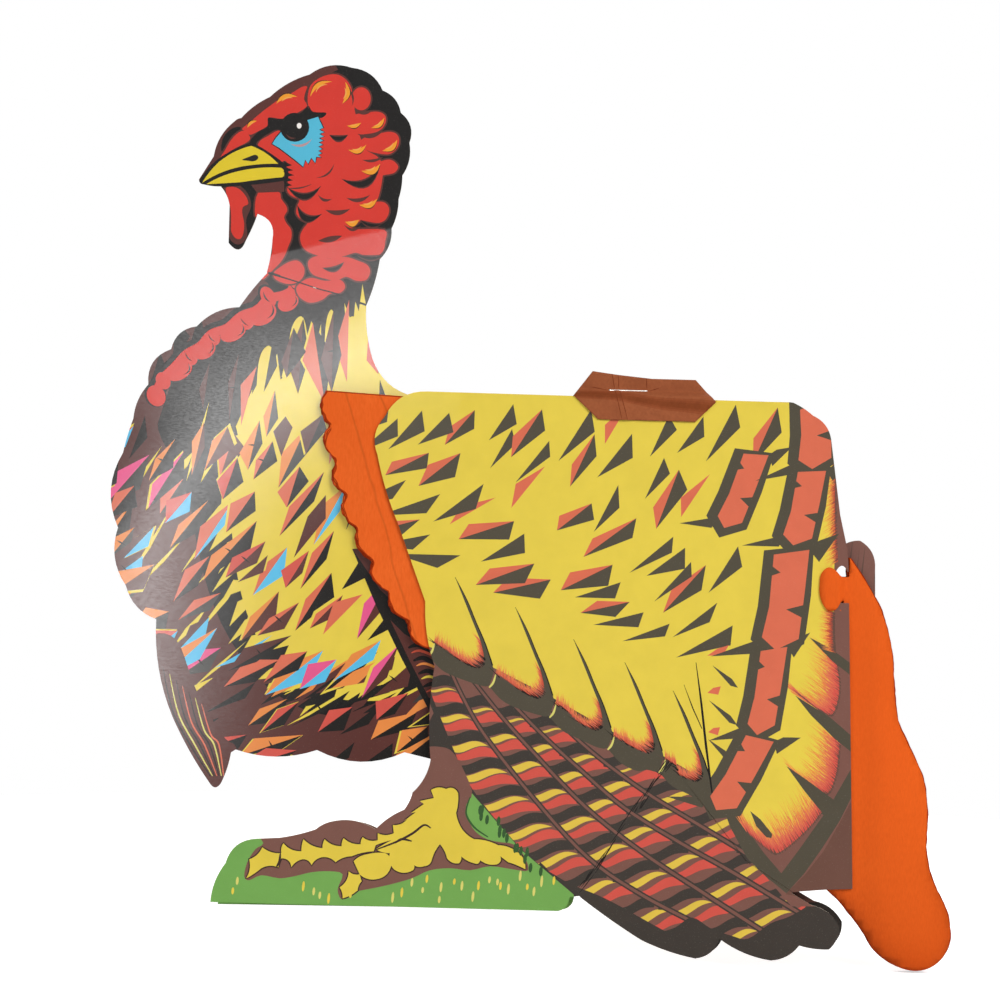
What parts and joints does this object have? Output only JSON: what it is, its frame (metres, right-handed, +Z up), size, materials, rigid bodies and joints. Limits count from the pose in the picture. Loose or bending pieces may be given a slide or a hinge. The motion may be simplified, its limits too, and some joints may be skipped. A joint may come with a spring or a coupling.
{
  "type": "thanksgiving turkey figure",
  "caption": "Folding turkey table decoration of printed cards with orange honeycomb tissue between hinged wings, a fold-down head and a tissue tail.",
  "frame": {"origin": "on the floor plane under the middle of the folded figure, on the plane of its centre card", "axes": "+X towards the tail, the bird faces -X; +Y away from the pictured side; +Z up"},
  "size_m": [0.272, 0.0084, 0.2852],
  "materials": {
    "breast_print": "litho print on solid board, soft gloss",
    "head_print": "litho print on solid board, soft gloss",
    "wing_print": "litho print on solid board, satin",
    "tip_print": "litho print on solid board, satin",
    "tissue": "dyed tissue, matt",
    "tail_paper": "dyed cover paper, matt",
    "hinge_paper": "gummed kraft paper, matt",
    "staple_wire": "galvanised wire"
  },
  "bodies": {
    "centre": {"breast_card": "breast_print", "hinge_staple": "staple_wire", "near_hinge_top": "hinge_paper", "far_hinge_top": "hinge_paper"},
    "head": {"head_card": "head_print"},
    "near_wing": {"near_wing_card": "wing_print", "near_hinge_flap": "hinge_paper", "near_tail_cover": "tail_paper"},
    "far_wing": {"far_wing_card": "wing_print", "far_hinge_flap": "hinge_paper", "far_tail_cover": "tail_paper"},
    "near_tip": {"near_wing_tip": "tip_print"},
    "far_tip": {"far_wing_tip": "tip_print"},
    "near_leaf_1": {"near_body_tissue_1": "tissue", "near_tail_tissue_1": "tissue"},
    "near_leaf_2": {"near_body_tissue_2": "tissue", "near_tail_tissue_2": "tissue"},
    "near_leaf_3": {"near_body_tissue_3": "tissue", "near_tail_tissue_3": "tissue"},
    "far_leaf_1": {"far_body_tissue_1": "tissue", "far_tail_tissue_1": "tissue"},
    "far_leaf_2": {"far_body_tissue_2": "tissue", "far_tail_tissue_2": "tissue"},
    "far_leaf_3": {"far_body_tissue_3": "tissue", "far_tail_tissue_3": "tissue"}
  },
  "joints": [
    {"name": "near_wing_swing", "type": "hinge", "parent": "centre", "child": "near_wing", "pos_m": [0.02855, -0.0008, 0.1835], "axis": [-1, 0, 0], "range_deg": [0, 25]},
    {"name": "far_wing_swing", "type": "hinge", "parent": "centre", "child": "far_wing", "pos_m": [0.02855, 0.0008, 0.1835], "axis": [1, 0, 0], "range_deg": [0, 25]},
    {"name": "neck_fold", "type": "hinge", "parent": "centre", "child": "head", "pos_m": [-0.07195, -0.0003, 0.21325], "axis": [0.9545, 0, -0.2983], "range_deg": [0, 160]},
    {"name": "near_tip_fold", "type": "hinge", "parent": "near_wing", "child": "near_tip", "pos_m": [0.0311, -0.0036, 0.04325], "axis": [-0.5452, 0, -0.8383], "range_deg": [0, 75]},
    {"name": "far_tip_fold", "type": "hinge", "parent": "far_wing", "child": "far_tip", "pos_m": [0.03254, 0.0036, 0.04306], "axis": [0.5364, 0, 0.844], "range_deg": [0, 75]},
    {"name": "near_leaf_1_fan", "type": "hinge", "parent": "centre", "child": "near_leaf_1", "pos_m": [0.02855, -0.0008, 0.1835], "axis": [-1, 0, 0], "range_deg": [0, 6.25]},
    {"name": "near_leaf_2_fan", "type": "hinge", "parent": "centre", "child": "near_leaf_2", "pos_m": [0.02855, -0.0008, 0.1835], "axis": [-1, 0, 0], "range_deg": [0, 12.5]},
    {"name": "near_leaf_3_fan", "type": "hinge", "parent": "centre", "child": "near_leaf_3", "pos_m": [0.02855, -0.0008, 0.1835], "axis": [-1, 0, 0], "range_deg": [0, 18.75]},
    {"name": "far_leaf_1_fan", "type": "hinge", "parent": "centre", "child": "far_leaf_1", "pos_m": [0.02855, 0.0008, 0.1835], "axis": [1, 0, 0], "range_deg": [0, 6.25]},
    {"name": "far_leaf_2_fan", "type": "hinge", "parent": "centre", "child": "far_leaf_2", "pos_m": [0.02855, 0.0008, 0.1835], "axis": [1, 0, 0], "range_deg": [0, 12.5]},
    {"name": "far_leaf_3_fan", "type": "hinge", "parent": "centre", "child": "far_leaf_3", "pos_m": [0.02855, 0.0008, 0.1835], "axis": [1, 0, 0], "range_deg": [0, 18.75]}
  ],
  "couplings": [
    {"joint": "near_leaf_1_fan", "follows": "near_wing_swing", "ratio": 0.25},
    {"joint": "near_leaf_2_fan", "follows": "near_wing_swing", "ratio": 0.5},
    {"joint": "near_leaf_3_fan", "follows": "near_wing_swing", "ratio": 0.75},
    {"joint": "far_leaf_1_fan", "follows": "far_wing_swing", "ratio": 0.25},
    {"joint": "far_leaf_2_fan", "follows": "far_wing_swing", "ratio": 0.5},
    {"joint": "far_leaf_3_fan", "follows": "far_wing_swing", "ratio": 0.75}
  ]
}
